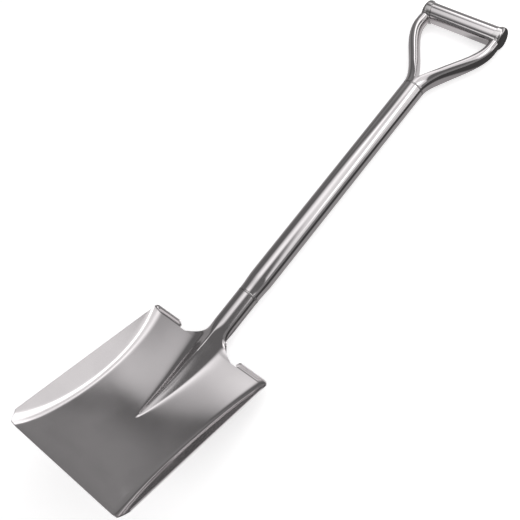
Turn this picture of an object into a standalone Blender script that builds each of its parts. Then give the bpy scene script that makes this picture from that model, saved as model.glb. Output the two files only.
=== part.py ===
"""All-steel square-mouth shovel with a D handle, lying on the ground with its hollow side up.

Metres, +Z up. The mouth points to -Y and the handle to +Y. The shovel is drawn in a frame of its own,
with the mouth's edge on Z = 0, and is then laid on the ground as its weight would lay it.
"""

import math

import bmesh
import bpy
import numpy as np
from mathutils import Euler, Matrix, Vector

# Clearances
GAP = 0.0003  # between pieces that touch
WELD_PROUD = 0.0003  # how far the lower weld and the seams stand out of the steel beside them

# Blade
SHEET = 0.002
BLADE_LENGTH = 0.270  # mouth to the foot of the steps
BLADE_HALF_WIDTH = 0.111  # to the top edge of a side wall
DISH_DEPTH = 0.024  # of the lengthwise arc below its chord
CROSS_DISH = 0.0094  # rise of the floor at full half width, where the blade is deepest
HEEL_DROP = 0.005  # of the pan at the steps below the mouth
WALL_TOP_AT_MOUTH = 0.0075
WALL_TOP_AT_HEEL = -0.0005
WALL_FLARE = math.radians(45)  # from the pan's floor
FOLD_BLEND_AT_MOUTH = 0.011  # height over which the pan's floor blends into a wall at the mouth
FOLD_BLEND = 0.0045  # the same, where the blade is deepest
MOUTH_CORNER_CUT = 0.014  # length cut off a wall's end at the mouth

# Steps, where the foot presses
STEP_INNER = 0.057  # half distance between the two steps
STEP_ANGLE = math.radians(65)  # of the riser from +Y
STEP_RISER = 0.0028
STEP_FOOT_RADIUS = 0.0046
STEP_TOP_RADIUS = 0.0020
STEP_LIP = 0.0012
STEP_LIP_ANGLE = math.radians(10)
STEP_END_ROUND = 0.006  # width over which a step's two ends are rounded
STEP_END_SIZE = 0.4  # share of the step's section that is left at its very ends

# Neck and frog
LIFT = math.radians(22.9)  # of the shaft from the mouth-to-heel line
NECK_RADIUS = 0.0175
NECK_LENGTH = 0.099
NECK_FOOT = 0.046  # half width where the neck's ears leave the pan
NECK_ROUND_FROM = 0.45  # share of the neck's length above which it is a plain tube
EAR_FLARE = 0.0150  # length along the neck over which its ears narrow
FROG_TIP = BLADE_LENGTH - 0.145  # distance of the frog's point from the mouth
FROG_POINT_HALF = 0.0014
FROG_HALF = 0.0185  # half width of the ridge at the neck
FROG_CREST = 0.12  # radius of the ridge's crest as a share of its half width
FROG_FOOT = 0.25  # softness of its foot as a share of its half width
STRAP_TIP = BLADE_LENGTH - 0.070  # distance of the back strap's rounded end from the mouth
STRAP_HALF = 0.034
STRAP_BEND = 0.012  # length before the heel where the strap starts to bend towards the neck
STRAP_TIP_ROUND = 0.6  # share of the tongue's length that its rounded end takes
STRAP_NARROWS = 0.30  # share of the neck's length where the strap is as narrow as the tube
SEAM_HALF = 0.0008  # half width of the weld seams along the neck

# Shaft
TUBE_RADIUS = 0.019
TUBE_WALL = 0.0012
SWAGE_LENGTH = 0.034
SPIGOT_LENGTH = 0.046
SHAFT_LENGTH = 0.4385  # from the lower weld to the upper one
LOWER_WELD = 0.003
UPPER_WELD = 0.002

# D handle
YOKE_LENGTH = 0.1533  # from the upper weld to the grip's axis
ARM_SPREAD_OVER = 0.82  # share of an arm's length in which it bends out
ARM_ROUND_OVER = 0.30  # share in which its half-disc section turns into an oval
ARM_SPREAD = 0.0665  # from the shovel's centre plane to an arm's middle, at the grip
ARM_HALF_WIDTH = 0.0098
ARM_HALF_DEPTH_LOW = 0.0180
ARM_HALF_DEPTH_HIGH = 0.0120
ARM_WALL = 0.0015
GRIP_RADIUS = 0.017
GRIP_HALF_LENGTH = 0.068
CAP_WALL = 0.0018
CAP_OUTER_FACE = 0.0748  # of each cap's flat end from the centre plane
CAP_FACE_RADIUS = 0.011
CAP_CORNER = 0.006  # length along the grip of the cap's rounded corner
CAP_RIM_FAR = 0.0665  # of the cap's rim from the centre plane, on the far side of the grip
CAP_RIM_NEAR = 0.0560  # the same, on the side of the arms
BUTTON_RADIUS = 0.0028  # of the plug weld that shows on each cap
BUTTON_HEIGHT = 0.0010
BUTTON_ANGLE = math.radians(40)  # round the cap from its top towards the arm

# Fineness of the meshes
BLADE_ROWS = 30
FROG_COLUMNS = 11  # across half the neck's foot
NOTCH_COLUMNS = 3
SIDE_COLUMNS = 12  # across a step and its wall
BEND_ROWS = 4  # round each bend of a step
NECK_ROWS = 12
STRAP_COLUMNS = 10
TONGUE_ROWS = 8
SWAGE_ROWS = 6
ARM_ROWS = 18
ARM_SEGMENTS = 28
CAP_ROWS = 6
ROUND_SEGMENTS = 40
SHARP_EDGE = math.radians(40)


def clear_scene():
    for obj in list(bpy.data.objects):
        bpy.data.objects.remove(obj, do_unlink=True)


def steel(name, colour, roughness):
    material = bpy.data.materials.new(name)
    material.use_nodes = True
    shader = material.node_tree.nodes["Principled BSDF"]
    shader.inputs["Base Color"].default_value = (*colour, 1.0)
    shader.inputs["Metallic"].default_value = 1.0
    shader.inputs["Roughness"].default_value = roughness
    return material


def add_object(name, mesh_builder, material, frame):
    """An object from a bmesh, hung on the frame's empty, smooth where its faces meet at a small angle."""
    mesh = bpy.data.meshes.new(name)
    mesh_builder.to_mesh(mesh)
    mesh_builder.free()
    mesh.shade_smooth()
    mesh.set_sharp_from_angle(angle=SHARP_EDGE)
    mesh.materials.append(material)
    obj = bpy.data.objects.new(name, mesh)
    bpy.context.collection.objects.link(obj)
    obj.parent = frame
    return obj


def thicken(obj, thickness):
    """Gives an open sheet its thickness, on the side that its normals point away from."""
    solidify = obj.modifiers.new("thickness", "SOLIDIFY")
    solidify.thickness = thickness
    solidify.offset = -1.0
    solidify.use_even_offset = True
    solidify.use_quality_normals = True


def smoothstep(value):
    value = min(max(value, 0.0), 1.0)
    return value * value * (3 - 2 * value)


def mix(start, end, share):
    return start + (end - start) * share


# ---- the blade's shape -------------------------------------------------------------------------


def dish_radius():
    half = BLADE_LENGTH / 2
    return (half * half + DISH_DEPTH * DISH_DEPTH) / (2 * DISH_DEPTH)


def floor_height(y):
    """Height of the pan's floor: a lengthwise arc hung from the mouth-to-heel chord."""
    half = BLADE_LENGTH / 2
    radius = dish_radius()
    sag = math.sqrt(radius * radius - (y - half) ** 2) - math.sqrt(radius * radius - half * half)
    return -HEEL_DROP * y / BLADE_LENGTH - sag


def floor_slope(y):
    """Angle of the pan's floor from +Y."""
    half = BLADE_LENGTH / 2
    chord_fall = math.atan(HEEL_DROP / BLADE_LENGTH)
    return math.asin((y - half) / dish_radius()) - chord_fall


def wall_top(y):
    return mix(WALL_TOP_AT_MOUTH, WALL_TOP_AT_HEEL, y / BLADE_LENGTH)


def depth_share(y):
    """How deep the lengthwise arc is at y, 1 at its deepest."""
    return 1 - ((y - BLADE_LENGTH / 2) / (BLADE_LENGTH / 2)) ** 2


def wall_rise(x, y):
    """Height above the middle of the floor: a crosswise dish, blended into the side wall."""
    dish = CROSS_DISH * (depth_share(y) * x / BLADE_HALF_WIDTH) ** 2
    height = wall_top(y) - floor_height(y)
    wall = height - (BLADE_HALF_WIDTH - abs(x)) * math.tan(WALL_FLARE)
    blend = mix(FOLD_BLEND_AT_MOUTH, FOLD_BLEND, depth_share(y))
    share = min(max(0.5 + 0.5 * (wall - dish) / blend, 0.0), 1.0)
    return mix(dish, wall, share) + blend * share * (1 - share)


def neck_start():
    """Where the neck's axis leaves the underside of the pan's heel."""
    return Vector((0.0, BLADE_LENGTH, floor_height(BLADE_LENGTH) - SHEET))


def shaft_direction():
    return Vector((0.0, math.cos(LIFT), math.sin(LIFT)))


def ridge_share(x, half_width):
    """Cross-section of the frog, 1 on its crest: a tent with a rounded crest and a soft foot."""
    crest = FROG_CREST * half_width
    foot = FROG_FOOT * half_width
    sides = math.log1p(math.exp((half_width - math.hypot(x, crest)) / foot))
    return sides / math.log1p(math.exp((half_width - crest) / foot))


def frog_rise(x, y):
    """Height above the floor of the frog, which grows from its point into the neck."""
    if y <= FROG_TIP:
        return 0.0
    share = (y - FROG_TIP) / (BLADE_LENGTH - FROG_TIP)
    crest = neck_start().z + NECK_RADIUS / math.cos(LIFT) - floor_height(BLADE_LENGTH)
    height = crest * math.sin(share * math.pi / 2)
    return height * ridge_share(x, mix(FROG_POINT_HALF, FROG_HALF, share))


def blade_columns():
    """Half widths of the blade's columns, from the centre to the wall's top edge."""
    columns = [NECK_FOOT * i / FROG_COLUMNS for i in range(FROG_COLUMNS)]
    columns += [mix(NECK_FOOT, STEP_INNER, i / NOTCH_COLUMNS) for i in range(NOTCH_COLUMNS)]
    for i in range(SIDE_COLUMNS + 1):
        columns.append(mix(STEP_INNER, BLADE_HALF_WIDTH, (1 - math.cos(math.pi * i / SIDE_COLUMNS)) / 2))
    return columns


def mouth_offset(x):
    """How far the sheet's front edge lies behind the mouth, where the wall's end is cut back."""
    height = wall_top(0) - floor_height(0)
    corner = BLADE_HALF_WIDTH - height / math.tan(WALL_FLARE)
    share = max(0.0, (abs(x) - corner) / (BLADE_HALF_WIDTH - corner))
    return MOUTH_CORNER_CUT * share


def pan_point(x, row_share):
    y = mix(mouth_offset(x), BLADE_LENGTH, row_share)
    return Vector((x, y, floor_height(y) + wall_rise(x, y) + frog_rise(x, y)))


def step_profile():
    """Points of a step's section from the pan's end, as (along Y, up), with its two round bends."""
    points = []
    start = floor_slope(BLADE_LENGTH)
    y, z = 0.0, 0.0

    def bend(y, z, first, last, radius, turns):
        centre_y = y - turns * radius * math.sin(first)
        centre_z = z + turns * radius * math.cos(first)
        for i in range(1, BEND_ROWS + 1):
            angle = mix(first, last, i / BEND_ROWS)
            points.append(
                (centre_y + turns * radius * math.sin(angle), centre_z - turns * radius * math.cos(angle))
            )
        return points[-1]

    y, z = bend(y, z, start, STEP_ANGLE, STEP_FOOT_RADIUS, 1)
    y += STEP_RISER * math.cos(STEP_ANGLE)
    z += STEP_RISER * math.sin(STEP_ANGLE)
    points.append((y, z))
    y, z = bend(y, z, STEP_ANGLE, STEP_LIP_ANGLE, STEP_TOP_RADIUS, -1)
    points.append((y + STEP_LIP * math.cos(STEP_LIP_ANGLE), z + STEP_LIP * math.sin(STEP_LIP_ANGLE)))
    return points


def step_size(x):
    """Share of the step's full section, which shrinks over its two rounded ends."""
    inner = min(max((abs(x) - STEP_INNER) / STEP_END_ROUND, 0.0), 1.0)
    outer = min(max((BLADE_HALF_WIDTH - abs(x)) / STEP_END_ROUND, 0.0), 1.0)
    end = min(inner, outer)
    return mix(STEP_END_SIZE, 1.0, math.sqrt(1 - (1 - end) ** 2))


def step_point(x, along, up):
    """A point of the step above the pan's end, its rise shared out so that its top is level."""
    foot = pan_point(x, 1.0)
    top = step_profile()[-1][1]
    raised = foot.z - floor_height(BLADE_LENGTH)
    size = step_size(x)
    return Vector((x, foot.y + along * size, foot.z + up * size * (1 - raised / top)))


def neck_edge(share):
    """Half width of the neck's ears, which flare out to the pan like a trumpet."""
    flare = (NECK_FOOT - NECK_RADIUS) * math.exp(-share * NECK_LENGTH / EAR_FLARE)
    return NECK_RADIUS + flare * (1 - smoothstep(share / NECK_ROUND_FROM))


def neck_frame(share):
    """Point on the neck's axis, and the direction that is up there."""
    tilt = LIFT * smoothstep(share / NECK_ROUND_FROM)
    centre = neck_start() + shaft_direction() * (share * NECK_LENGTH)
    return centre, Vector((0.0, -math.sin(tilt), math.cos(tilt)))


def neck_point(column_share, share, last):
    """A point of the neck's front half: ridge and ears below, half a tube above."""
    roundness = smoothstep(share / NECK_ROUND_FROM)
    centre, up = neck_frame(share)
    edge = neck_edge(share)
    ear = SHEET * (1 - roundness)
    low_x = edge * column_share
    low_z = ear + (NECK_RADIUS / math.cos(LIFT) - ear) * ridge_share(low_x, FROG_HALF)
    widest = math.acos((SEAM_HALF + GAP) / NECK_RADIUS)
    angle = widest * column_share
    x = mix(low_x, NECK_RADIUS * math.sin(angle), roundness)
    z = mix(low_z, NECK_RADIUS * math.cos(angle), roundness)
    point = centre + up * z + Vector((x, 0, 0))
    return point - shaft_direction() * (LOWER_WELD / 2 + GAP) * share if last else point


def neck_shares(rows):
    """Rows along the neck, closer together where it flares."""
    return [(i / rows) ** 1.5 for i in range(rows + 1)]


def build_blade(material, frame):
    mesh = bmesh.new()
    half = blade_columns()
    columns = [-x for x in reversed(half[1:])] + half
    grid = []
    for row in range(BLADE_ROWS + 1):
        grid.append([mesh.verts.new(pan_point(x, row / BLADE_ROWS)) for x in columns])
    for low, high in zip(grid, grid[1:]):
        join_rows(mesh, low, high)

    def extend(first, last, rows):
        edge = grid[-1][first : last + 1]
        for points in rows:
            verts = [mesh.verts.new(point) for point in points]
            join_rows(mesh, edge, verts)
            edge = verts

    middle = len(half) - 1
    step_first = half.index(STEP_INNER)
    for first, last in ((0, middle - step_first), (middle + step_first, len(columns) - 1)):
        rows = [[step_point(x, y, z) for x in columns[first : last + 1]] for y, z in step_profile()]
        extend(first, last, rows)
    shares = neck_shares(NECK_ROWS)
    rows = []
    for share in shares[1:]:
        rows.append(
            [neck_point(i / FROG_COLUMNS, share, True) for i in range(-FROG_COLUMNS, FROG_COLUMNS + 1)]
        )
    extend(middle - FROG_COLUMNS, middle + FROG_COLUMNS, rows)
    thicken(add_object("blade", mesh, material, frame), SHEET)


# ---- back strap and seams ----------------------------------------------------------------------


def strap_tongue_point(column_share, y):
    """A point under the pan: the strap's face towards the blade, GAP below the sheet."""
    slope = floor_slope(y)
    share = (y - STRAP_TIP) / (BLADE_LENGTH - STRAP_TIP)
    half = STRAP_HALF * math.sqrt(1 - (1 - min(share / STRAP_TIP_ROUND, 1.0)) ** 2)
    drop = SHEET + GAP
    return Vector((half * column_share, y + drop * math.sin(slope), floor_height(y) - drop * math.cos(slope)))


def strap_neck_point(column_share, share):
    """A point of the neck's rear half: flat at the pan, half a tube above."""
    roundness = smoothstep(share / NECK_ROUND_FROM)
    centre, up = neck_frame(share)
    lowest = mix(GAP, SEAM_HALF + GAP, roundness)
    inner = NECK_RADIUS - SHEET
    widest = math.acos(lowest / inner)
    angle = widest * column_share
    x = mix(STRAP_HALF * column_share, inner * math.sin(angle), smoothstep(share / STRAP_NARROWS))
    z = mix(lowest, inner * math.cos(angle), roundness)
    shift = shaft_direction() * (LOWER_WELD / 2 + GAP) * share
    return centre - up * z + Vector((x, 0, 0)) - shift


def build_neck_strap(material, frame):
    mesh = bmesh.new()
    columns = [i / STRAP_COLUMNS for i in range(-STRAP_COLUMNS, STRAP_COLUMNS + 1)]
    rows = []
    for i in range(TONGUE_ROWS):
        y = mix(STRAP_TIP + SHEET, BLADE_LENGTH - STRAP_BEND, i / (TONGUE_ROWS - 1))
        rows.append([strap_tongue_point(c, y) for c in columns])
    for share in neck_shares(NECK_ROWS)[2:]:
        rows.append([strap_neck_point(c, share) for c in columns])
    grid = [[mesh.verts.new(point) for point in row] for row in rows]
    for low, high in zip(grid, grid[1:]):
        join_rows(mesh, low, high)
    thicken(add_object("neck_strap", mesh, material, frame), SHEET)


# ---- tubes along the shaft ---------------------------------------------------------------------


def ring_centre():
    return neck_start() + shaft_direction() * NECK_LENGTH


def along_shaft(distance):
    return ring_centre() + shaft_direction() * distance


def join_rings(mesh, first, second):
    """A band of faces between two closed rings of as many points."""
    for i in range(len(first)):
        j = (i + 1) % len(first)
        mesh.faces.new((first[i], first[j], second[j], second[i]))


def join_rows(mesh, first, second):
    """A strip of faces between two open rows of as many points."""
    for i in range(len(first) - 1):
        mesh.faces.new((first[i], first[i + 1], second[i + 1], second[i]))


def turned(profile, flat_ends=False, rim=None):
    """A solid turned about Z from an outline of (radius, height).

    The outline closes on itself as a tube's does, or, with flat_ends, its first and last rings are filled.
    Where a height is None, it is rim(angle).
    """
    mesh = bmesh.new()
    rings = []
    for radius, height in profile:
        ring = []
        for i in range(ROUND_SEGMENTS):
            angle = 2 * math.pi * i / ROUND_SEGMENTS
            z = rim(angle) if height is None else height
            ring.append(mesh.verts.new((radius * math.cos(angle), radius * math.sin(angle), z)))
        rings.append(ring)
    following = rings[1:] if flat_ends else rings[1:] + rings[:1]
    for a, b in zip(rings, following):
        join_rings(mesh, a, b)
    if flat_ends:
        mesh.faces.new(rings[0])
        mesh.faces.new(rings[-1])
    bmesh.ops.recalc_face_normals(mesh, faces=mesh.faces)
    return mesh


def stand_on_shaft(obj, distance):
    """Puts an object's own Z along the shaft, with its origin at a distance above the lower weld."""
    obj.location = along_shaft(distance)
    obj.rotation_euler = Euler((LIFT - math.pi / 2, 0, 0))


def build_shaft(material, frame):
    """The shaft with its swaged lower end, and the thinner spigot that goes into the neck."""
    start = LOWER_WELD / 2 + GAP
    end = SHAFT_LENGTH - UPPER_WELD / 2 - GAP
    spigot = NECK_RADIUS - SHEET - GAP
    straight = start + 2 * TUBE_WALL
    swage = [(NECK_RADIUS, straight)]
    for i in range(1, SWAGE_ROWS + 1):
        share = i / SWAGE_ROWS
        radius = mix(NECK_RADIUS, TUBE_RADIUS, smoothstep(share))
        swage.append((radius, mix(straight, SWAGE_LENGTH, share)))
    outer = [(spigot, -SPIGOT_LENGTH), (spigot, start), (NECK_RADIUS, start)] + swage + [(TUBE_RADIUS, end)]
    inner = [(TUBE_RADIUS - TUBE_WALL, end)]
    inner += [(radius - TUBE_WALL, height) for radius, height in reversed(swage)]
    inner += [(NECK_RADIUS - TUBE_WALL, start + TUBE_WALL), (spigot - TUBE_WALL, start + TUBE_WALL)]
    inner += [(spigot - TUBE_WALL, -SPIGOT_LENGTH)]
    shaft = add_object("shaft_tube", turned(outer + inner), material, frame)
    stand_on_shaft(shaft, 0.0)


def build_weld_ring(name, outer, inner, width, proud, distance, material, frame):
    """A bead with a crowned outside, filling the joint between two tubes."""
    half = width / 2
    crown = outer + proud
    profile = [(inner, -half), (outer, -half), (crown, -half / 2), (crown, half / 2), (outer, half), (inner, half)]
    ring = add_object(name, turned(profile), material, frame)
    stand_on_shaft(ring, distance)


def build_seams(material, frame):
    """The two weld seams that join the neck's front and rear halves."""
    inner = NECK_RADIUS - SHEET + GAP
    start = -NECK_LENGTH * (1 - NECK_ROUND_FROM) + SHEET
    end = -LOWER_WELD / 2 - 2 * GAP
    for name, side in (("neck_seam_left", -1), ("neck_seam_right", 1)):
        mesh = bmesh.new()
        section = [(inner, -SEAM_HALF), (NECK_RADIUS, -SEAM_HALF)]
        section += [(NECK_RADIUS + WELD_PROUD, -SEAM_HALF / 2), (NECK_RADIUS + WELD_PROUD, SEAM_HALF / 2)]
        section += [(NECK_RADIUS, SEAM_HALF), (inner, SEAM_HALF)]
        low = [mesh.verts.new((side * x, y, start)) for x, y in section]
        high = [mesh.verts.new((side * x, y, end)) for x, y in section]
        join_rings(mesh, low, high)
        mesh.faces.new(low)
        mesh.faces.new(high)
        bmesh.ops.recalc_face_normals(mesh, faces=mesh.faces)
        stand_on_shaft(add_object(name, mesh, material, frame), 0.0)


# ---- D handle ----------------------------------------------------------------------------------


def grip_distance():
    return SHAFT_LENGTH + YOKE_LENGTH


def arm_stations():
    """Stations up one arm: (share of its length, middle's X, half width, half depth, how round)."""
    stations = []
    for i in range(ARM_ROWS + 1):
        share = i / ARM_ROWS
        spread = smoothstep(share / ARM_SPREAD_OVER)
        roundness = smoothstep(share / ARM_ROUND_OVER)
        middle = mix(TUBE_RADIUS / 2, ARM_SPREAD, spread)
        width = mix(TUBE_RADIUS / 2, ARM_HALF_WIDTH, roundness)
        low_depth = mix(TUBE_RADIUS, ARM_HALF_DEPTH_LOW, roundness)
        depth = mix(low_depth, ARM_HALF_DEPTH_HIGH, smoothstep(share))
        stations.append((share, middle, width, depth, roundness))
    return stations


def arm_loop(width, depth, roundness, inset):
    """Section of an arm as (outwards, across): half a disc at the shaft, an oval higher up."""
    points = []
    for i in range(ARM_SEGMENTS):
        angle = 2 * math.pi * i / ARM_SEGMENTS
        oval = ((width - inset) * math.cos(angle), (depth - inset) * math.sin(angle))
        radius = 2 * width - inset
        half_disc = (
            max(radius * math.cos(angle) - width, -width + GAP + inset),
            (depth - inset) * math.sin(angle),
        )
        points.append((mix(half_disc[0], oval[0], roundness), mix(half_disc[1], oval[1], roundness)))
    return points


def build_arm(name, side, cutter, material, frame):
    start = SHAFT_LENGTH + UPPER_WELD / 2 + GAP
    length = grip_distance() - start
    stations = arm_stations()
    mesh = bmesh.new()
    shells = []
    for inset in (0.0, ARM_WALL):
        rings = []
        for i, (share, middle, width, depth, roundness) in enumerate(stations):
            before = stations[max(i - 1, 0)]
            after = stations[min(i + 1, len(stations) - 1)]
            lean = math.atan2(after[1] - before[1], (after[0] - before[0]) * length)
            if i == 0:
                lean = 0.0
            ring = []
            for outwards, across in arm_loop(width, depth, roundness, inset):
                x = side * (middle + outwards * math.cos(lean))
                z = start + share * length - outwards * math.sin(lean)
                ring.append(mesh.verts.new((x, -across, z)))
            rings.append(ring)
        shells.append(rings)
    outer, inner = shells
    bands = list(zip(outer, outer[1:])) + list(zip(inner, inner[1:]))
    bands += [(outer[0], inner[0]), (outer[-1], inner[-1])]
    for a, b in bands:
        join_rings(mesh, a, b)
    bmesh.ops.recalc_face_normals(mesh, faces=mesh.faces)
    arm = add_object(name, mesh, material, frame)
    stand_on_shaft(arm, 0.0)
    cut = arm.modifiers.new("seat of the cap", "BOOLEAN")
    cut.operation = "DIFFERENCE"
    cut.object = cutter


def cap_radius():
    return GRIP_RADIUS + GAP + CAP_WALL


def cap_rim(angle):
    """Distance of the cap's rim from the centre plane, further out on the side away from the arms."""
    return mix(CAP_RIM_NEAR, CAP_RIM_FAR, (1 + math.sin(angle)) / 2)


def stand_on_grip(obj, side):
    """Puts an object's own Z along the grip, outwards, and its own Y along the shaft."""
    turn = Matrix.Rotation(LIFT, 3, "X") @ Matrix.Rotation(side * math.pi / 2, 3, "Y")
    obj.location = along_shaft(grip_distance())
    obj.rotation_euler = turn.to_euler()


def build_cap(name, side, material, frame):
    outline = []
    for i in range(CAP_ROWS + 1):
        angle = math.pi / 2 * (1 - i / CAP_ROWS)
        radius = CAP_FACE_RADIUS + (cap_radius() - CAP_FACE_RADIUS) * math.cos(angle)
        outline.append((radius, CAP_OUTER_FACE - CAP_CORNER * (1 - math.sin(angle))))
    bore = GRIP_RADIUS + GAP
    outline += [(cap_radius(), None), (bore, None), (bore, GRIP_HALF_LENGTH + GAP)]
    cap = add_object(name, turned(outline, flat_ends=True, rim=cap_rim), material, frame)
    stand_on_grip(cap, side)


def build_arm_cutter(side, material, frame):
    """A rod that shapes the arm's end to sit against the cap, GAP away."""
    radius = cap_radius() + GAP
    rod = turned([(radius, 0.0), (radius, 2 * CAP_OUTER_FACE)], flat_ends=True)
    cutter = add_object("arm_cutter", rod, material, frame)
    stand_on_grip(cutter, side)
    cutter.hide_render = True
    cutter.display_type = "WIRE"
    return cutter


def build_button(name, side, material, frame):
    """The low round plug weld that holds each cap to the grip, facing up and towards the arm."""
    seat = cap_radius() + GAP
    profile = [
        (BUTTON_RADIUS * 0.5, BUTTON_HEIGHT),
        (BUTTON_RADIUS * 0.85, BUTTON_HEIGHT * 0.75),
        (BUTTON_RADIUS, BUTTON_HEIGHT * 0.3),
        (BUTTON_RADIUS, 0.0),
    ]
    button = add_object(name, turned(profile, flat_ends=True), material, frame)
    up = Vector((0, -math.sin(LIFT), math.cos(LIFT)))
    out = up * math.cos(BUTTON_ANGLE) - shaft_direction() * math.sin(BUTTON_ANGLE)
    middle = (CAP_OUTER_FACE - CAP_CORNER + CAP_RIM_FAR) / 2
    button.location = along_shaft(grip_distance()) + out * seat + Vector((side * middle, 0, 0))
    button.rotation_euler = out.to_track_quat("Z", "X").to_euler()


def build_grip(material, frame):
    inner = GRIP_RADIUS - TUBE_WALL
    profile = [
        (GRIP_RADIUS, -GRIP_HALF_LENGTH),
        (GRIP_RADIUS, GRIP_HALF_LENGTH),
        (inner, GRIP_HALF_LENGTH),
        (inner, -GRIP_HALF_LENGTH),
    ]
    stand_on_grip(add_object("grip_tube", turned(profile), material, frame), 1)


# ---- laying the shovel on the ground -----------------------------------------------------------


def solid_points(pieces):
    """All points of the pieces as they are drawn, and the centre of their mass as one metal."""
    bpy.context.view_layer.update()
    graph = bpy.context.evaluated_depsgraph_get()
    clouds = []
    mass = 0.0
    moment = np.zeros(3)
    for piece in pieces:
        evaluated = piece.evaluated_get(graph)
        mesh = evaluated.to_mesh()
        mesh.calc_loop_triangles()
        points = np.array([evaluated.matrix_world @ vertex.co for vertex in mesh.vertices])
        corners = points[np.array([triangle.vertices[:] for triangle in mesh.loop_triangles])]
        volumes = np.einsum("ij,ij->i", corners[:, 0], np.cross(corners[:, 1], corners[:, 2])) / 6
        mass += volumes.sum()
        moment += (corners.sum(axis=1) / 4 * volumes[:, None]).sum(axis=0)
        clouds.append(points)
        evaluated.to_mesh_clear()
    return np.concatenate(clouds), moment / mass


def resting_tilt(points, centre):
    """Angle from +Y of the straight line that the shovel lies on: the side of its lower outline under its weight."""
    outline = []
    for y, z in sorted(map(tuple, points[:, 1:])):
        while len(outline) > 1:
            (y1, z1), (y2, z2) = outline[-2:]
            if (y2 - y1) * (z - z1) > (z2 - z1) * (y - y1):
                break
            outline.pop()
        outline.append((y, z))
    for (y1, z1), (y2, z2) in zip(outline, outline[1:]):
        tilt = math.atan2(z2 - z1, y2 - y1)
        past = (centre[1] - y2) * math.cos(tilt) + (centre[2] - z2) * math.sin(tilt)
        if past < 0:
            break
    return tilt


def lay_on_ground(frame):
    """Turns the shovel onto its resting line, and puts the middle of its box's underside at the origin."""
    pieces = [obj for obj in frame.children if not obj.hide_render]
    points, centre = solid_points(pieces)
    tilt = resting_tilt(points, centre)
    turn = Matrix.Rotation(-tilt, 3, "X")
    turned_points = points @ np.array(turn).T
    low = turned_points.min(axis=0)
    high = turned_points.max(axis=0)
    frame.rotation_euler = turn.to_euler()
    frame.location = (0.0, -(low[1] + high[1]) / 2, -low[2])


def main():
    clear_scene()
    frame = bpy.data.objects.new("shovel_frame", None)
    bpy.context.collection.objects.link(frame)
    polished = steel("polished steel", (0.62, 0.60, 0.60), 0.14)
    tube = steel("polished tube", (0.66, 0.63, 0.63), 0.12)
    weld = steel("ground weld", (0.50, 0.49, 0.49), 0.30)
    dark = steel("cap steel", (0.45, 0.44, 0.44), 0.15)

    build_blade(polished, frame)
    build_neck_strap(polished, frame)
    build_seams(weld, frame)
    bore = NECK_RADIUS - SHEET
    build_weld_ring("lower_weld", NECK_RADIUS, bore, LOWER_WELD, WELD_PROUD, 0.0, weld, frame)
    build_shaft(tube, frame)
    bore = TUBE_RADIUS - TUBE_WALL
    flush = TUBE_RADIUS - WELD_PROUD
    build_weld_ring("upper_weld", flush, bore, UPPER_WELD, WELD_PROUD, SHAFT_LENGTH, weld, frame)
    for word, side in (("left", -1), ("right", 1)):
        cutter = build_arm_cutter(side, tube, frame)
        build_arm("yoke_arm_" + word, side, cutter, tube, frame)
        build_cap("grip_cap_" + word, side, dark, frame)
        build_button("grip_button_" + word, side, weld, frame)
    build_grip(tube, frame)
    lay_on_ground(frame)


main()
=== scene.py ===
"""The look of the all-steel square-mouth shovel: polished stainless steel on a pale floor in soft light.

Every CAD node is stood in for by a finer piece of the same shape. The shapes are drawn in the shovel's own
frame, where the mouth's edge lies on Z = 0, and are then laid on the ground where the CAD lies.
"""

import math

import bmesh
import bpy
from mathutils import Matrix, Vector


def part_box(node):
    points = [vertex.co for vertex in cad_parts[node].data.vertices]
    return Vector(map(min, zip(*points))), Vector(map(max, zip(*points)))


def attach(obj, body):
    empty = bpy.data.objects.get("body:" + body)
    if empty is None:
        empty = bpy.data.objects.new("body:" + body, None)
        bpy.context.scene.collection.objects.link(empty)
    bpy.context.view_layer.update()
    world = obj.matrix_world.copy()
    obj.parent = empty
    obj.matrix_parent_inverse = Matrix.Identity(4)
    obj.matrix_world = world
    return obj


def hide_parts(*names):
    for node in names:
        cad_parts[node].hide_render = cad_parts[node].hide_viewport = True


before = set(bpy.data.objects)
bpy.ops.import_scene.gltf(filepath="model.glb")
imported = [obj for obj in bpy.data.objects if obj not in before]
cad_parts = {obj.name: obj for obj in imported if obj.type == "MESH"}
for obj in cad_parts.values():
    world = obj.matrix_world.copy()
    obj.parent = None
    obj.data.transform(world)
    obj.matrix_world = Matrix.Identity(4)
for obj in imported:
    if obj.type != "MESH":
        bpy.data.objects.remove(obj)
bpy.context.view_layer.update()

# Clearances
GAP = 0.0003
WELD_PROUD = 0.0003

# Blade
SHEET = 0.002
BLADE_LENGTH = 0.270
BLADE_HALF_WIDTH = 0.111
DISH_DEPTH = 0.024
CROSS_DISH = 0.0094
HEEL_DROP = 0.005
WALL_TOP_AT_MOUTH = 0.0075
WALL_TOP_AT_HEEL = -0.0005
WALL_FLARE = math.radians(45)
FOLD_BLEND_AT_MOUTH = 0.011
FOLD_BLEND = 0.0045
MOUTH_CORNER_CUT = 0.014

# Steps
STEP_INNER = 0.057
STEP_ANGLE = math.radians(65)
STEP_RISER = 0.0028
STEP_FOOT_RADIUS = 0.0046
STEP_TOP_RADIUS = 0.0020
STEP_LIP = 0.0012
STEP_LIP_ANGLE = math.radians(10)
STEP_END_ROUND = 0.006
STEP_END_SIZE = 0.4

# Neck, frog and back strap
LIFT = math.radians(22.9)
NECK_RADIUS = 0.0175
NECK_LENGTH = 0.099
NECK_FOOT = 0.046
NECK_ROUND_FROM = 0.45
EAR_FLARE = 0.0150
FROG_TIP = BLADE_LENGTH - 0.145
FROG_POINT_HALF = 0.0014
FROG_HALF = 0.0185
FROG_CREST = 0.12
FROG_FOOT = 0.25
STRAP_TIP = BLADE_LENGTH - 0.070
STRAP_HALF = 0.034
STRAP_BEND = 0.012
STRAP_TIP_ROUND = 0.6
STRAP_NARROWS = 0.30
SEAM_HALF = 0.0008

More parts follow.
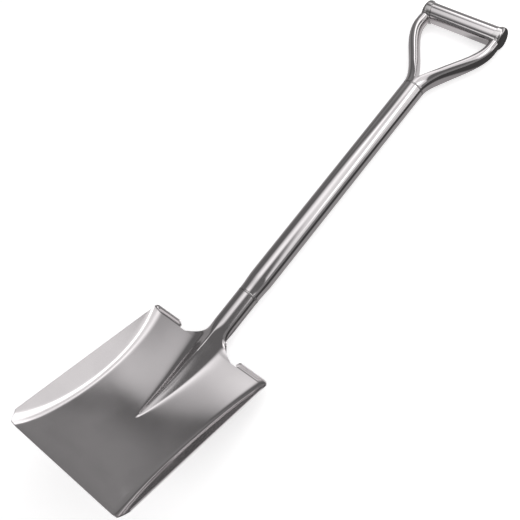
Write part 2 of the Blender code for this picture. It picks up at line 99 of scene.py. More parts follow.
# Shaft
TUBE_RADIUS = 0.019
TUBE_WALL = 0.0012
SWAGE_LENGTH = 0.034
SPIGOT_LENGTH = 0.046
SHAFT_LENGTH = 0.4385
LOWER_WELD = 0.003
UPPER_WELD = 0.002

# D handle
YOKE_LENGTH = 0.1533
ARM_SPREAD_OVER = 0.82
ARM_ROUND_OVER = 0.30
ARM_SPREAD = 0.0665
ARM_HALF_WIDTH = 0.0098
ARM_HALF_DEPTH_LOW = 0.0180
ARM_HALF_DEPTH_HIGH = 0.0120
ARM_WALL = 0.0015
GRIP_RADIUS = 0.017
GRIP_HALF_LENGTH = 0.068
CAP_WALL = 0.0018
CAP_OUTER_FACE = 0.0748
CAP_FACE_RADIUS = 0.011
CAP_CORNER = 0.006
CAP_RIM_FAR = 0.0665
CAP_RIM_NEAR = 0.0560
BUTTON_RADIUS = 0.0028
BUTTON_HEIGHT = 0.0010
BUTTON_ANGLE = math.radians(40)

# Fineness of the meshes
BLADE_ROWS = 110
FROG_COLUMNS = 36
NOTCH_COLUMNS = 6
SIDE_COLUMNS = 34
BEND_ROWS = 12
NECK_ROWS = 48
STRAP_COLUMNS = 24
TONGUE_ROWS = 20
SEAM_ROWS = 40
SEAM_SEGMENTS = 6
GRIP_ROWS = 40
SWAGE_ROWS = 16
ARM_ROWS = 72
ARM_SEGMENTS = 72
CAP_ROWS = 14
ROUND_SEGMENTS = 128
SHARP_EDGE = math.radians(35)


def smoothstep(value):
    value = min(max(value, 0.0), 1.0)
    return value * value * (3 - 2 * value)


def mix(start, end, share):
    return start + (end - start) * share


# ---- the blade's shape -------------------------------------------------------------------------


def dish_radius():
    half = BLADE_LENGTH / 2
    return (half * half + DISH_DEPTH * DISH_DEPTH) / (2 * DISH_DEPTH)


def floor_height(y):
    half = BLADE_LENGTH / 2
    radius = dish_radius()
    sag = math.sqrt(radius * radius - (y - half) ** 2) - math.sqrt(radius * radius - half * half)
    return -HEEL_DROP * y / BLADE_LENGTH - sag


def floor_slope(y):
    half = BLADE_LENGTH / 2
    return math.asin((y - half) / dish_radius()) - math.atan(HEEL_DROP / BLADE_LENGTH)


def wall_top(y):
    return mix(WALL_TOP_AT_MOUTH, WALL_TOP_AT_HEEL, y / BLADE_LENGTH)


def depth_share(y):
    """How deep the lengthwise arc is at y, 1 at its deepest."""
    return 1 - ((y - BLADE_LENGTH / 2) / (BLADE_LENGTH / 2)) ** 2


def wall_rise(x, y):
    """Height above the middle of the floor: a crosswise dish, blended into the side wall."""
    dish = CROSS_DISH * (depth_share(y) * x / BLADE_HALF_WIDTH) ** 2
    height = wall_top(y) - floor_height(y)
    wall = height - (BLADE_HALF_WIDTH - abs(x)) * math.tan(WALL_FLARE)
    blend = mix(FOLD_BLEND_AT_MOUTH, FOLD_BLEND, depth_share(y))
    share = min(max(0.5 + 0.5 * (wall - dish) / blend, 0.0), 1.0)
    return mix(dish, wall, share) + blend * share * (1 - share)


def neck_start():
    return Vector((0.0, BLADE_LENGTH, floor_height(BLADE_LENGTH) - SHEET))


def shaft_direction():
    return Vector((0.0, math.cos(LIFT), math.sin(LIFT)))


def ridge_share(x, half_width):
    """Cross-section of the frog, 1 on its crest: a tent with a rounded crest and a soft foot."""
    crest = FROG_CREST * half_width
    foot = FROG_FOOT * half_width
    sides = math.log1p(math.exp((half_width - math.hypot(x, crest)) / foot))
    return sides / math.log1p(math.exp((half_width - crest) / foot))


def frog_rise(x, y):
    if y <= FROG_TIP:
        return 0.0
    share = (y - FROG_TIP) / (BLADE_LENGTH - FROG_TIP)
    crest = neck_start().z + NECK_RADIUS / math.cos(LIFT) - floor_height(BLADE_LENGTH)
    height = crest * math.sin(share * math.pi / 2)
    return height * ridge_share(x, mix(FROG_POINT_HALF, FROG_HALF, share))


def blade_columns():
    columns = [NECK_FOOT * i / FROG_COLUMNS for i in range(FROG_COLUMNS)]
    columns += [mix(NECK_FOOT, STEP_INNER, i / NOTCH_COLUMNS) for i in range(NOTCH_COLUMNS)]
    for i in range(SIDE_COLUMNS + 1):
        columns.append(mix(STEP_INNER, BLADE_HALF_WIDTH, (1 - math.cos(math.pi * i / SIDE_COLUMNS)) / 2))
    return columns


def mouth_offset(x):
    height = wall_top(0) - floor_height(0)
    corner = BLADE_HALF_WIDTH - height / math.tan(WALL_FLARE)
    share = max(0.0, (abs(x) - corner) / (BLADE_HALF_WIDTH - corner))
    return MOUTH_CORNER_CUT * share


def pan_point(x, row_share):
    y = mix(mouth_offset(x), BLADE_LENGTH, row_share)
    return Vector((x, y, floor_height(y) + wall_rise(x, y) + frog_rise(x, y)))


def step_profile():
    points = []
    start = floor_slope(BLADE_LENGTH)

    def bend(y, z, first, last, radius, turns):
        centre_y = y - turns * radius * math.sin(first)
        centre_z = z + turns * radius * math.cos(first)
        for i in range(1, BEND_ROWS + 1):
            angle = mix(first, last, i / BEND_ROWS)
            points.append(
                (centre_y + turns * radius * math.sin(angle), centre_z - turns * radius * math.cos(angle))
            )
        return points[-1]

    y, z = bend(0.0, 0.0, start, STEP_ANGLE, STEP_FOOT_RADIUS, 1)
    y += STEP_RISER * math.cos(STEP_ANGLE)
    z += STEP_RISER * math.sin(STEP_ANGLE)
    points.append((y, z))
    y, z = bend(y, z, STEP_ANGLE, STEP_LIP_ANGLE, STEP_TOP_RADIUS, -1)
    points.append((y + STEP_LIP * math.cos(STEP_LIP_ANGLE), z + STEP_LIP * math.sin(STEP_LIP_ANGLE)))
    return points


def step_size(x):
    """Share of the step's full section, which shrinks over its two rounded ends."""
    inner = min(max((abs(x) - STEP_INNER) / STEP_END_ROUND, 0.0), 1.0)
    outer = min(max((BLADE_HALF_WIDTH - abs(x)) / STEP_END_ROUND, 0.0), 1.0)
    end = min(inner, outer)
    return mix(STEP_END_SIZE, 1.0, math.sqrt(1 - (1 - end) ** 2))


def step_point(x, along, up):
    foot = pan_point(x, 1.0)
    top = step_profile()[-1][1]
    raised = foot.z - floor_height(BLADE_LENGTH)
    size = step_size(x)
    return Vector((x, foot.y + along * size, foot.z + up * size * (1 - raised / top)))


def neck_edge(share):
    flare = (NECK_FOOT - NECK_RADIUS) * math.exp(-share * NECK_LENGTH / EAR_FLARE)
    return NECK_RADIUS + flare * (1 - smoothstep(share / NECK_ROUND_FROM))


def neck_frame(share):
    tilt = LIFT * smoothstep(share / NECK_ROUND_FROM)
    centre = neck_start() + shaft_direction() * (share * NECK_LENGTH)
    return centre, Vector((0.0, -math.sin(tilt), math.cos(tilt)))


def neck_point(column_share, share):
    roundness = smoothstep(share / NECK_ROUND_FROM)
    centre, up = neck_frame(share)
    edge = neck_edge(share)
    ear = SHEET * (1 - roundness)
    low_x = edge * column_share
    low_z = ear + (NECK_RADIUS / math.cos(LIFT) - ear) * ridge_share(low_x, FROG_HALF)
    angle = math.acos((SEAM_HALF + GAP) / NECK_RADIUS) * column_share
    x = mix(low_x, NECK_RADIUS * math.sin(angle), roundness)
    z = mix(low_z, NECK_RADIUS * math.cos(angle), roundness)
    return centre + up * z + Vector((x, 0, 0)) - shaft_direction() * (LOWER_WELD / 2 + GAP) * share


def neck_shares(rows):
    return [(i / rows) ** 1.5 for i in range(rows + 1)]


def strap_tongue_point(column_share, y):
    slope = floor_slope(y)
    share = (y - STRAP_TIP) / (BLADE_LENGTH - STRAP_TIP)
    half = STRAP_HALF * math.sqrt(1 - (1 - min(share / STRAP_TIP_ROUND, 1.0)) ** 2)
    drop = SHEET + GAP
    z = floor_height(y) - drop * math.cos(slope)
    return Vector((half * column_share, y + drop * math.sin(slope), z))


def strap_neck_point(column_share, share):
    roundness = smoothstep(share / NECK_ROUND_FROM)
    centre, up = neck_frame(share)
    lowest = mix(GAP, SEAM_HALF + GAP, roundness)
    inner = NECK_RADIUS - SHEET
    angle = math.acos(lowest / inner) * column_share
    x = mix(STRAP_HALF * column_share, inner * math.sin(angle), smoothstep(share / STRAP_NARROWS))
    z = mix(lowest, inner * math.cos(angle), roundness)
    return centre - up * z + Vector((x, 0, 0)) - shaft_direction() * (LOWER_WELD / 2 + GAP) * share


def grip_distance():
    return SHAFT_LENGTH + YOKE_LENGTH


def cap_radius():
    return GRIP_RADIUS + GAP + CAP_WALL


def along_shaft(distance):
    return neck_start() + shaft_direction() * (NECK_LENGTH + distance)


def lying():
    """The turn and shift that lay the shovel's own frame on the ground, its grip where the CAD's is."""
    rise = (cap_radius() - TUBE_RADIUS) / (grip_distance() - SWAGE_LENGTH)
    turn = Matrix.Rotation(-(LIFT - math.atan(rise)), 4, "X")
    low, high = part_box("grip_tube")
    middle = (Vector(low) + Vector(high)) / 2
    return Matrix.Translation(middle - turn @ along_shaft(grip_distance())) @ turn


# ---- turning points into pieces ----------------------------------------------------------------


def join_rings(mesh, first, second):
    for i in range(len(first)):
        j = (i + 1) % len(first)
        mesh.faces.new((first[i], first[j], second[j], second[i]))


def join_rows(mesh, first, second):
    for i in range(len(first) - 1):
        mesh.faces.new((first[i], first[i + 1], second[i + 1], second[i]))


def add_piece(name, mesh_builder, place, material, slot, *nodes):
    """A piece from a bmesh, put in its place on the shovel, standing for the CAD nodes named."""
    mesh = bpy.data.meshes.new(name)
    mesh_builder.transform(LAY @ place)
    mesh_builder.to_mesh(mesh)
    mesh_builder.free()
    mesh.shade_smooth()
    mesh.set_sharp_from_angle(angle=SHARP_EDGE)
    mesh.materials.append(material)
    piece = bpy.data.objects.new(name, mesh)
    bpy.context.scene.collection.objects.link(piece)
    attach(piece, "root")
    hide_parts(*nodes)
    return piece


def thicken(piece, thickness, edge_radius):
    solidify = piece.modifiers.new("thickness", "SOLIDIFY")
    solidify.thickness = thickness
    solidify.offset = -1.0
    solidify.use_even_offset = True
    solidify.use_quality_normals = True
    bevel = piece.modifiers.new("rounded edges", "BEVEL")
    bevel.width = edge_radius
    bevel.segments = 3
    bevel.limit_method = "ANGLE"
    bevel.angle_limit = math.radians(50)
    bevel.harden_normals = True


def turned(profile, flat_ends=False, rim=None):
    mesh = bmesh.new()
    rings = []
    for radius, height in profile:
        ring = []
        for i in range(ROUND_SEGMENTS):
            angle = 2 * math.pi * i / ROUND_SEGMENTS
            z = rim(angle) if height is None else height
            ring.append(mesh.verts.new((radius * math.cos(angle), radius * math.sin(angle), z)))
        rings.append(ring)
    following = rings[1:] if flat_ends else rings[1:] + rings[:1]
    for a, b in zip(rings, following):
        join_rings(mesh, a, b)
    if flat_ends:
        mesh.faces.new(rings[0])
        mesh.faces.new(rings[-1])
    bmesh.ops.recalc_face_normals(mesh, faces=mesh.faces)
    return mesh


def on_shaft(distance):
    return Matrix.Translation(along_shaft(distance)) @ Matrix.Rotation(LIFT - math.pi / 2, 4, "X")


def on_grip(side):
    turn = Matrix.Rotation(LIFT, 4, "X") @ Matrix.Rotation(side * math.pi / 2, 4, "Y")
    return Matrix.Translation(along_shaft(grip_distance())) @ turn


def build_blade(material):
    mesh = bmesh.new()
    half = blade_columns()
    columns = [-x for x in reversed(half[1:])] + half
    grid = []
    for row in range(BLADE_ROWS + 1):
        grid.append([mesh.verts.new(pan_point(x, row / BLADE_ROWS)) for x in columns])
    for low, high in zip(grid, grid[1:]):
        join_rows(mesh, low, high)

    def extend(first, last, rows):
        edge = grid[-1][first : last + 1]
        for points in rows:
            verts = [mesh.verts.new(point) for point in points]
            join_rows(mesh, edge, verts)
            edge = verts

    middle = len(half) - 1
    step_first = half.index(STEP_INNER)
    profile = step_profile()
    for first, last in ((0, middle - step_first), (middle + step_first, len(columns) - 1)):
        extend(first, last, [[step_point(x, y, z) for x in columns[first : last + 1]] for y, z in profile])
    rows = []
    for share in neck_shares(NECK_ROWS)[1:]:
        rows.append([neck_point(i / FROG_COLUMNS, share) for i in range(-FROG_COLUMNS, FROG_COLUMNS + 1)])
    extend(middle - FROG_COLUMNS, middle + FROG_COLUMNS, rows)
    piece = add_piece("blade_sheet", mesh, Matrix(), material, "polished_steel", "blade")
    thicken(piece, SHEET, 0.0004)


def build_neck_strap(material):
    mesh = bmesh.new()
    columns = [i / STRAP_COLUMNS for i in range(-STRAP_COLUMNS, STRAP_COLUMNS + 1)]
    rows = []
    for i in range(TONGUE_ROWS):
        y = mix(STRAP_TIP + SHEET, BLADE_LENGTH - STRAP_BEND, i / (TONGUE_ROWS - 1))
        rows.append([strap_tongue_point(c, y) for c in columns])
    for share in neck_shares(NECK_ROWS)[8:]:
        rows.append([strap_neck_point(c, share) for c in columns])
    grid = [[mesh.verts.new(point) for point in row] for row in rows]
    for low, high in zip(grid, grid[1:]):
        join_rows(mesh, low, high)
    piece = add_piece("back_strap", mesh, Matrix(), material, "polished_steel", "neck_strap")
    thicken(piece, SHEET, 0.0004)


def build_seams(material):
    inner = NECK_RADIUS - SHEET + GAP
    start = -NECK_LENGTH * (1 - NECK_ROUND_FROM) + SHEET
    end = -LOWER_WELD / 2 - 2 * GAP
    for name, side in (("neck_seam_left", -1), ("neck_seam_right", 1)):
        mesh = bmesh.new()
        section = [(inner, -SEAM_HALF)]
        for i in range(SEAM_SEGMENTS + 1):
            angle = math.pi * i / SEAM_SEGMENTS
            section.append((NECK_RADIUS + WELD_PROUD * math.sin(angle), -SEAM_HALF * math.cos(angle)))
        section.append((inner, SEAM_HALF))
        rings = []
        for row in range(SEAM_ROWS + 1):
            z = mix(start, end, row / SEAM_ROWS)
            rings.append([mesh.verts.new((side * x, y, z)) for x, y in section])
        for a, b in zip(rings, rings[1:]):
            join_rings(mesh, a, b)
        mesh.faces.new(rings[0])
        mesh.faces.new(rings[-1])
        bmesh.ops.recalc_face_normals(mesh, faces=mesh.faces)
        add_piece(name + "_bead", mesh, on_shaft(0.0), material, "ground_weld", name)


def build_shaft(material):
    start = LOWER_WELD / 2 + GAP
    end = SHAFT_LENGTH - UPPER_WELD / 2 - GAP
    spigot = NECK_RADIUS - SHEET - GAP
    straight = start + 2 * TUBE_WALL
    swage = [(NECK_RADIUS, straight)]
    for i in range(1, SWAGE_ROWS + 1):
        share = i / SWAGE_ROWS
        swage.append((mix(NECK_RADIUS, TUBE_RADIUS, smoothstep(share)), mix(straight, SWAGE_LENGTH, share)))
    outer = [(spigot, -SPIGOT_LENGTH), (spigot, start)]
    outer += [(NECK_RADIUS - GAP, start), (NECK_RADIUS, start + GAP)]
    outer += swage
    rows = 60
    outer += [(TUBE_RADIUS, mix(SWAGE_LENGTH, end - GAP, i / rows)) for i in range(1, rows + 1)]
    outer += [(TUBE_RADIUS - GAP, end)]
    inner = [(TUBE_RADIUS - TUBE_WALL, end)]
    inner += [(radius - TUBE_WALL, height) for radius, height in reversed(swage)]
    inner += [(NECK_RADIUS - TUBE_WALL, start + TUBE_WALL), (spigot - TUBE_WALL, start + TUBE_WALL)]
    inner += [(spigot - TUBE_WALL, -SPIGOT_LENGTH)]
    add_piece("shaft", turned(outer + inner), on_shaft(0.0), material, "polished_tube", "shaft_tube")


def build_weld_ring(name, outer, inner, width, proud, distance, material):
    half = width / 2
    profile = [(inner, -half)]
    for i in range(9):
        angle = math.pi * i / 8
        profile.append((outer + proud * math.sin(angle), -half * math.cos(angle)))
    profile.append((inner, half))
    add_piece(name + "_bead", turned(profile), on_shaft(distance), material, "ground_weld", name)


def arm_station(share):
    roundness = smoothstep(share / ARM_ROUND_OVER)
    middle = mix(TUBE_RADIUS / 2, ARM_SPREAD, smoothstep(share / ARM_SPREAD_OVER))
    width = mix(TUBE_RADIUS / 2, ARM_HALF_WIDTH, roundness)
    low_depth = mix(TUBE_RADIUS, ARM_HALF_DEPTH_LOW, roundness)
    depth = mix(low_depth, ARM_HALF_DEPTH_HIGH, smoothstep(share))
    return share, middle, width, depth, roundness


def arm_loop(width, depth, roundness, inset):
    points = []
    for i in range(ARM_SEGMENTS):
        angle = 2 * math.pi * i / ARM_SEGMENTS
        oval = ((width - inset) * math.cos(angle), (depth - inset) * math.sin(angle))
        radius = 2 * width - inset
        flat = max(radius * math.cos(angle) - width, -width + GAP + inset)
        half_disc = (flat, (depth - inset) * math.sin(angle))
        points.append((mix(half_disc[0], oval[0], roundness), mix(half_disc[1], oval[1], roundness)))
    return points


def build_arm(word, side, cutter, material):
    start = SHAFT_LENGTH + UPPER_WELD / 2 + GAP
    length = grip_distance() - start
    stations = [arm_station(i / ARM_ROWS) for i in range(ARM_ROWS + 1)]
    mesh = bmesh.new()
    shells = []
    for inset in (0.0, ARM_WALL):
        rings = []
        for i, (share, middle, width, depth, roundness) in enumerate(stations):
            before = stations[max(i - 1, 0)]
            after = stations[min(i + 1, len(stations) - 1)]
            lean = math.atan2(after[1] - before[1], (after[0] - before[0]) * length)
            if i == 0:
                lean = 0.0
            ring = []
            for outwards, across in arm_loop(width, depth, roundness, inset):
                x = side * (middle + outwards * math.cos(lean))
                z = start + share * length - outwards * math.sin(lean)
                ring.append(mesh.verts.new((x, -across, z)))
            rings.append(ring)
        shells.append(rings)
    outer, inner = shells
    bands = list(zip(outer, outer[1:])) + list(zip(inner, inner[1:]))
    bands += [(outer[0], inner[0]), (outer[-1], inner[-1])]
    for a, b in bands:
        join_rings(mesh, a, b)
    bmesh.ops.recalc_face_normals(mesh, faces=mesh.faces)
    node = "yoke_arm_" + word
    arm = add_piece("arm_" + word, mesh, on_shaft(0.0), material, "polished_tube", node)
    cut = arm.modifiers.new("seat of the cap", "BOOLEAN")
    cut.operation = "DIFFERENCE"
    cut.object = cutter


def cap_rim(angle):
    return mix(CAP_RIM_NEAR, CAP_RIM_FAR, (1 + math.sin(angle)) / 2)


def build_cap(word, side, material):
    outline = []
    for i in range(CAP_ROWS + 1):
        angle = math.pi / 2 * (1 - i / CAP_ROWS)
        radius = CAP_FACE_RADIUS + (cap_radius() - CAP_FACE_RADIUS) * math.cos(angle)
        outline.append((radius, CAP_OUTER_FACE - CAP_CORNER * (1 - math.sin(angle))))
    bore = GRIP_RADIUS + GAP
    outline += [(cap_radius(), None), (bore, None), (bore, GRIP_HALF_LENGTH + GAP)]
    mesh = turned(outline, flat_ends=True, rim=cap_rim)
    add_piece("cap_" + word, mesh, on_grip(side), material, "cap_steel", "grip_cap_" + word)


def build_arm_cutter(side):
    radius = cap_radius() + GAP
    mesh = turned([(radius, 0.0), (radius, 2 * CAP_OUTER_FACE)], flat_ends=True)
    mesh.transform(LAY @ on_grip(side))
    data = bpy.data.meshes.new("arm_cutter")
    mesh.to_mesh(data)
    mesh.free()
    cutter = bpy.data.objects.new("arm_cutter", data)
    bpy.context.scene.collection.objects.link(cutter)
    cutter.hide_render = True
    cutter.hide_viewport = True
    return cutter


def build_button(word, side, material):
    seat = cap_radius() + GAP
    profile = []
    for i in range(8):
        angle = math.pi / 2 * (1 - i / 8)
        profile.append((BUTTON_RADIUS * math.cos(angle) + GAP, BUTTON_HEIGHT * math.sin(angle)))
    profile.append((BUTTON_RADIUS, 0.0))
    up = Vector((0, -math.sin(LIFT), math.cos(LIFT)))
    out = up * math.cos(BUTTON_ANGLE) - shaft_direction() * math.sin(BUTTON_ANGLE)
    middle = (CAP_OUTER_FACE - CAP_CORNER + CAP_RIM_FAR) / 2
    seat_point = along_shaft(grip_distance()) + out * seat + Vector((side * middle, 0, 0))
    place = Matrix.Translation(seat_point) @ out.to_track_quat("Z", "X").to_matrix().to_4x4()
    mesh = turned(profile, flat_ends=True)
    add_piece("plug_weld_" + word, mesh, place, material, "ground_weld", "grip_button_" + word)


def build_grip(material):
    inner = GRIP_RADIUS - TUBE_WALL
    profile = []
    for i in range(GRIP_ROWS + 1):
        profile.append((GRIP_RADIUS, mix(-GRIP_HALF_LENGTH, GRIP_HALF_LENGTH, i / GRIP_ROWS)))
    profile += [(inner, GRIP_HALF_LENGTH), (inner, -GRIP_HALF_LENGTH)]
    add_piece("grip", turned(profile), on_grip(1), material, "polished_tube", "grip_tube")


# ---- materials ---------------------------------------------------------------------------------


class Nodes:
    """Shorthand for building a node tree out of sums and ramps."""

    def __init__(self, tree):
        self.tree = tree

    def add(self, kind, **settings):
        node = self.tree.nodes.new(kind)
        for name, value in settings.items():
            setattr(node, name, value)
        return node

    def set(self, socket, value):
        if isinstance(value, bpy.types.NodeSocket):
            self.tree.links.new(value, socket)
        else:
            socket.default_value = value

    def math(self, operation, first, second=0.0):
        node = self.add("ShaderNodeMath", operation=operation)
        self.set(node.inputs[0], first)
        self.set(node.inputs[1], second)
        return node.outputs[0]

    def ramp(self, value, low, high, start=0.0, end=1.0):
        node = self.add("ShaderNodeMapRange", interpolation_type="SMOOTHSTEP")
        self.set(node.inputs["Value"], value)
        self.set(node.inputs["From Min"], low)
        self.set(node.inputs["From Max"], high)
        self.set(node.inputs["To Min"], start)
        self.set(node.inputs["To Max"], end)
        return node.outputs["Result"]

    def patch(self, x, y, x_edges, y_edges):
        """1 inside a rectangle with soft edges, given as (outer, inner, inner, outer) along X and Y."""
        result = 1.0
        for value, edges in ((x, x_edges), (y, y_edges)):
            rise = self.ramp(value, edges[0], edges[1])
            fall = self.ramp(value, edges[2], edges[3], 1.0, 0.0)
            result = self.math("MULTIPLY", self.math("MULTIPLY", rise, fall), result)
        return result


def steel(name, colour, roughness, waviness):
    """Polished stainless steel: faint cloudy changes of polish, hair-fine scratches and slow waves."""
    material = bpy.data.materials.new(name)
    material.use_nodes = True
    tree = material.node_tree
    nodes = Nodes(tree)
    shader = tree.nodes["Principled BSDF"]
    shader.inputs["Metallic"].default_value = 1.0
    place = nodes.add("ShaderNodeTexCoord").outputs["Object"]

    cloud = nodes.add("ShaderNodeTexNoise")
    nodes.set(cloud.inputs["Vector"], place)
    cloud.inputs["Scale"].default_value = 22.0
    cloud.inputs["Detail"].default_value = 4.0

    stretch = nodes.add("ShaderNodeMapping")
    nodes.set(stretch.inputs["Vector"], place)
    stretch.inputs["Scale"].default_value = (900.0, 25.0, 900.0)
    scratch = nodes.add("ShaderNodeTexNoise")
    nodes.set(scratch.inputs["Vector"], stretch.outputs["Vector"])
    scratch.inputs["Scale"].default_value = 1.0
    scratch.inputs["Detail"].default_value = 2.0

    tint = nodes.add("ShaderNodeMix", data_type="RGBA")
    nodes.set(tint.inputs["Factor"], nodes.ramp(cloud.outputs["Fac"], 0.35, 0.65))
    tint.inputs["A"].default_value = (*[c * 0.96 for c in colour], 1.0)
    tint.inputs["B"].default_value = (*colour, 1.0)
    nodes.set(shader.inputs["Base Color"], tint.outputs["Result"])

    polish = nodes.ramp(cloud.outputs["Fac"], 0.3, 0.7, roughness * 0.85, roughness * 1.1)
    fine = nodes.ramp(scratch.outputs["Fac"], 0.55, 0.8, 0.0, roughness * 0.4)
    nodes.set(shader.inputs["Roughness"], nodes.math("ADD", polish, fine))

    wave = nodes.add("ShaderNodeTexNoise")
    nodes.set(wave.inputs["Vector"], place)
    wave.inputs["Scale"].default_value = 9.0
    wave.inputs["Detail"].default_value = 1.0
    bump = nodes.add("ShaderNodeBump")
    bump.inputs["Strength"].default_value = waviness
    bump.inputs["Distance"].default_value = 0.002
    nodes.set(bump.inputs["Height"], wave.outputs["Fac"])
    nodes.set(shader.inputs["Normal"], bump.outputs["Normal"])
    return material


# ---- floor, light and camera -------------------------------------------------------------------

CEILING_HEIGHT = 1.27
CEILING_HALF = 3.5
CEILING_BASE = 0.16
# Each lamp: strength, turn about Z, and where it fades in and out across and along
CEILING_LAMPS = (
    (1.25, 0.0, (-1.25, -0.10, -0.05, 0.50), (-0.55, 0.25, 0.70, 0.95)),
    (0.85, 0.0, (-0.05, 0.50, 3.60, 4.20), (0.28, 0.48, 1.15, 1.45)),
    (0.85, 0.0, (1.15, 1.55, 3.60, 4.20), (1.15, 1.45, 2.10, 2.60)),
    (1.20, 0.64, (0.05, 0.50, 0.60, 0.95), (0.50, 0.80, 1.90, 2.35)),
    (0.12, 0.0, (-3.80, -2.60, -0.60, -0.20), (0.90, 1.60, 3.60, 4.20)),
    (1.60, 2.58, (-1.20, -0.60, 1.80, 2.60), (-1.95, -1.60, -1.35, -1.10)),
    (1.20, 0.26, (-1.50, -1.10, 0.30, 0.60), (-2.80, -2.20, -1.10, -0.75)),
)
FLOOR_HALF = 6.0
FLOOR_GREY = 0.90
FLOOR_GLOW = 0.60
TABLE_BELOW_FLOOR = 0.0005
# Brightness of the room round the table, by height above the horizon and side
ROOM_LOW_LEFT = 0.12
ROOM_HIGH_LEFT = 0.20
ROOM_LOW_RIGHT = 0.28
ROOM_HIGH_RIGHT = 0.45
ROOM_BEHIND_RIGHT = 0.75
ROOM_BEHIND_LEFT = 0.14
# Brightness of the table as the steel mirrors it, from left to right
TABLE_FAR_LEFT = 0.26
TABLE_LEFT = 0.32
TABLE_MIDDLE = 0.68
TABLE_RIGHT = 0.38
TABLE_SHADE = 0.07


def emission_material(name, colour):
    material = bpy.data.materials.new(name)
    material.use_nodes = True
    tree = material.node_tree
    tree.nodes.clear()
    nodes = Nodes(tree)
    light = nodes.add("ShaderNodeEmission")
    light.inputs["Color"].default_value = (*colour, 1.0)
    out = nodes.add("ShaderNodeOutputMaterial")
    nodes.set(out.inputs["Surface"], light.outputs["Emission"])
    return material, nodes, light


def flat_sheet(name, half, height, material):
    mesh = bpy.data.meshes.new(name)
    corners = [(-half, -half, height), (half, -half, height), (half, half, height), (-half, half, height)]
    mesh.from_pydata(corners, [], [(0, 1, 2, 3)])
    mesh.materials.append(material)
    sheet = bpy.data.objects.new(name, mesh)
    bpy.context.scene.collection.objects.link(sheet)
    return sheet


def build_ceiling():
    """The studio's diffuser, brighter in soft patches where lamps shine through it."""
    material, nodes, light = emission_material("studio_diffuser", (1.0, 0.985, 0.99))
    place = nodes.add("ShaderNodeSeparateXYZ")
    nodes.set(place.inputs[0], nodes.add("ShaderNodeTexCoord").outputs["Object"])
    x, y = place.outputs["X"], place.outputs["Y"]
    glow = CEILING_BASE
    for strength, turn, across, along in CEILING_LAMPS:
        x_cos = nodes.math("MULTIPLY", x, math.cos(turn))
        y_sin = nodes.math("MULTIPLY", y, math.sin(turn))
        u = nodes.math("ADD", x_cos, y_sin)
        y_cos = nodes.math("MULTIPLY", y, math.cos(turn))
        x_sin = nodes.math("MULTIPLY", x, math.sin(turn))
        v = nodes.math("SUBTRACT", y_cos, x_sin)
        patch = nodes.patch(u, v, across, along)
        glow = nodes.math("ADD", nodes.math("MULTIPLY", patch, strength), glow)
    nodes.set(light.inputs["Strength"], glow)
    sheet = flat_sheet("studio_ceiling", CEILING_HALF, CEILING_HEIGHT, material)
    sheet.visible_camera = False
    sheet.visible_shadow = False
    return sheet


def build_world():
    """The room round the table: dim near the horizon, lighter behind; plain white to the camera."""
    world = bpy.data.worlds.new("studio")
    bpy.context.scene.world = world
    world.use_nodes = True
    tree = world.node_tree
    tree.nodes.clear()
    nodes = Nodes(tree)
    way = nodes.add("ShaderNodeSeparateXYZ")
    nodes.set(way.inputs[0], nodes.add("ShaderNodeTexCoord").outputs["Generated"])
    x, y, z = way.outputs["X"], way.outputs["Y"], way.outputs["Z"]
    rightness = nodes.ramp(x, -0.2, 0.5)
    left = nodes.ramp(z, 0.10, 0.35, ROOM_LOW_LEFT, ROOM_HIGH_LEFT)
    right = nodes.ramp(z, 0.25, 0.45, ROOM_LOW_RIGHT, ROOM_HIGH_RIGHT)
    behind_left = nodes.ramp(y, 0.35, 0.65, 0.0, ROOM_BEHIND_LEFT)
    behind_left = nodes.math("MULTIPLY", behind_left, nodes.ramp(z, 0.0, 0.1))
    behind = nodes.ramp(y, 0.36, 0.55, 0.0, ROOM_BEHIND_RIGHT)
    behind = nodes.math("MULTIPLY", behind, nodes.ramp(x, -0.15, 0.05))
    behind = nodes.math("ADD", behind, behind_left)
    glow = nodes.math("MULTIPLY", right, rightness)
    glow = nodes.math("ADD", glow, nodes.math("MULTIPLY", left, nodes.math("SUBTRACT", 1.0, rightness)))
    glow = nodes.math("ADD", glow, behind)
    seen = nodes.add("ShaderNodeBackground")
    seen.inputs["Color"].default_value = (1.0, 1.0, 1.0, 1.0)
    seen.inputs["Strength"].default_value = 1.0
    studio = nodes.add("ShaderNodeBackground")
    studio.inputs["Color"].default_value = (1.0, 0.985, 0.99, 1.0)
    nodes.set(studio.inputs["Strength"], glow)
    choose = nodes.add("ShaderNodeMixShader")
    nodes.set(choose.inputs[0], nodes.add("ShaderNodeLightPath").outputs["Is Camera Ray"])
    nodes.set(choose.inputs[1], studio.outputs[0])
    nodes.set(choose.inputs[2], seen.outputs[0])
    out = nodes.add("ShaderNodeOutputWorld")
    nodes.set(out.inputs["Surface"], choose.outputs[0])


def build_table_glow():
    """What the steel mirrors below itself: a table lit on the shovel's left, shaded on its right."""
    material, nodes, light = emission_material("table_glow", (1.0, 0.975, 0.98))
    place = nodes.add("ShaderNodeSeparateXYZ")
    nodes.set(place.inputs[0], nodes.add("ShaderNodeTexCoord").outputs["Object"])
    x = place.outputs["X"]
    glow = nodes.ramp(x, -0.60, -0.12, TABLE_FAR_LEFT, TABLE_LEFT)
    glow = nodes.math("ADD", glow, nodes.ramp(x, -0.10, -0.035, 0.0, TABLE_MIDDLE - TABLE_LEFT))
    glow = nodes.math("ADD", glow, nodes.ramp(x, 0.0, 0.022, 0.0, TABLE_RIGHT - TABLE_MIDDLE))
    glow = nodes.math("ADD", glow, nodes.ramp(x, 0.058, 0.078, 0.0, TABLE_SHADE - TABLE_RIGHT))
    nodes.set(light.inputs["Strength"], glow)
    sheet = flat_sheet("table_glow", FLOOR_HALF, -TABLE_BELOW_FLOOR, material)
    sheet.visible_camera = False
    sheet.visible_diffuse = False
    sheet.visible_shadow = False
    return sheet


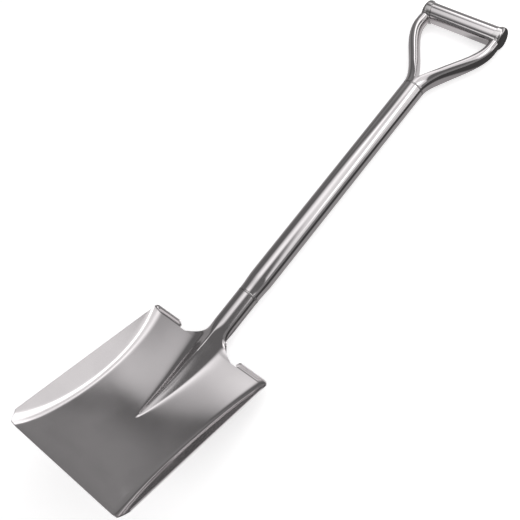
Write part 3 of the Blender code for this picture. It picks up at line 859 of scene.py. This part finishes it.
def build_floor():
    material = bpy.data.materials.new("pale_floor")
    material.use_nodes = True
    shader = material.node_tree.nodes["Principled BSDF"]
    shader.inputs["Base Color"].default_value = (*[FLOOR_GREY] * 3, 1.0)
    shader.inputs["Roughness"].default_value = 0.9
    shader.inputs["Specular IOR Level"].default_value = 0.0
    shader.inputs["Emission Color"].default_value = (1.0, 1.0, 1.0, 1.0)
    shader.inputs["Emission Strength"].default_value = FLOOR_GLOW
    floor = flat_sheet("pale_floor", FLOOR_HALF, 0.0, material)
    floor.visible_glossy = False
    return floor


CAMERA_PLACE = Vector((0.5123, -0.3565, 1.0508))
CAMERA_LOOKS_AT = Vector((-0.0061, -0.0840, 0.0500))
CAMERA_ROLL = math.radians(-26.87)


def build_camera():
    data = bpy.data.cameras.new("photo_camera")
    data.lens = 54.0
    data.sensor_width = 36.0
    camera = bpy.data.objects.new("photo_camera", data)
    bpy.context.scene.collection.objects.link(camera)
    turn = (CAMERA_LOOKS_AT - CAMERA_PLACE).to_track_quat("-Z", "Y").to_matrix().to_4x4()
    camera.matrix_world = Matrix.Translation(CAMERA_PLACE) @ turn @ Matrix.Rotation(CAMERA_ROLL, 4, "Z")
    bpy.context.scene.camera = camera
    return camera


LAY = lying()
sheet_steel = steel("polished_sheet_steel", (0.64, 0.62, 0.625), 0.13, 0.10)
tube_steel = steel("polished_tube_steel", (0.66, 0.64, 0.645), 0.10, 0.05)
weld_steel = steel("ground_weld_steel", (0.50, 0.49, 0.49), 0.24, 0.10)
cap_steel = steel("polished_cap_steel", (0.60, 0.59, 0.59), 0.12, 0.05)

build_blade(sheet_steel)
build_neck_strap(sheet_steel)
build_seams(weld_steel)
build_weld_ring("lower_weld", NECK_RADIUS, NECK_RADIUS - SHEET, LOWER_WELD, WELD_PROUD, 0.0, weld_steel)
build_shaft(tube_steel)
flush = TUBE_RADIUS - WELD_PROUD
bore = TUBE_RADIUS - TUBE_WALL
build_weld_ring("upper_weld", flush, bore, UPPER_WELD, WELD_PROUD, SHAFT_LENGTH, weld_steel)
for word, side in (("left", -1), ("right", 1)):
    build_arm(word, side, build_arm_cutter(side), tube_steel)
    build_cap(word, side, cap_steel)
    build_button(word, side, weld_steel)
build_grip(tube_steel)

build_ceiling()
build_world()
build_floor()
build_table_glow()
build_camera()
bpy.context.scene.view_settings.view_transform = "Standard"
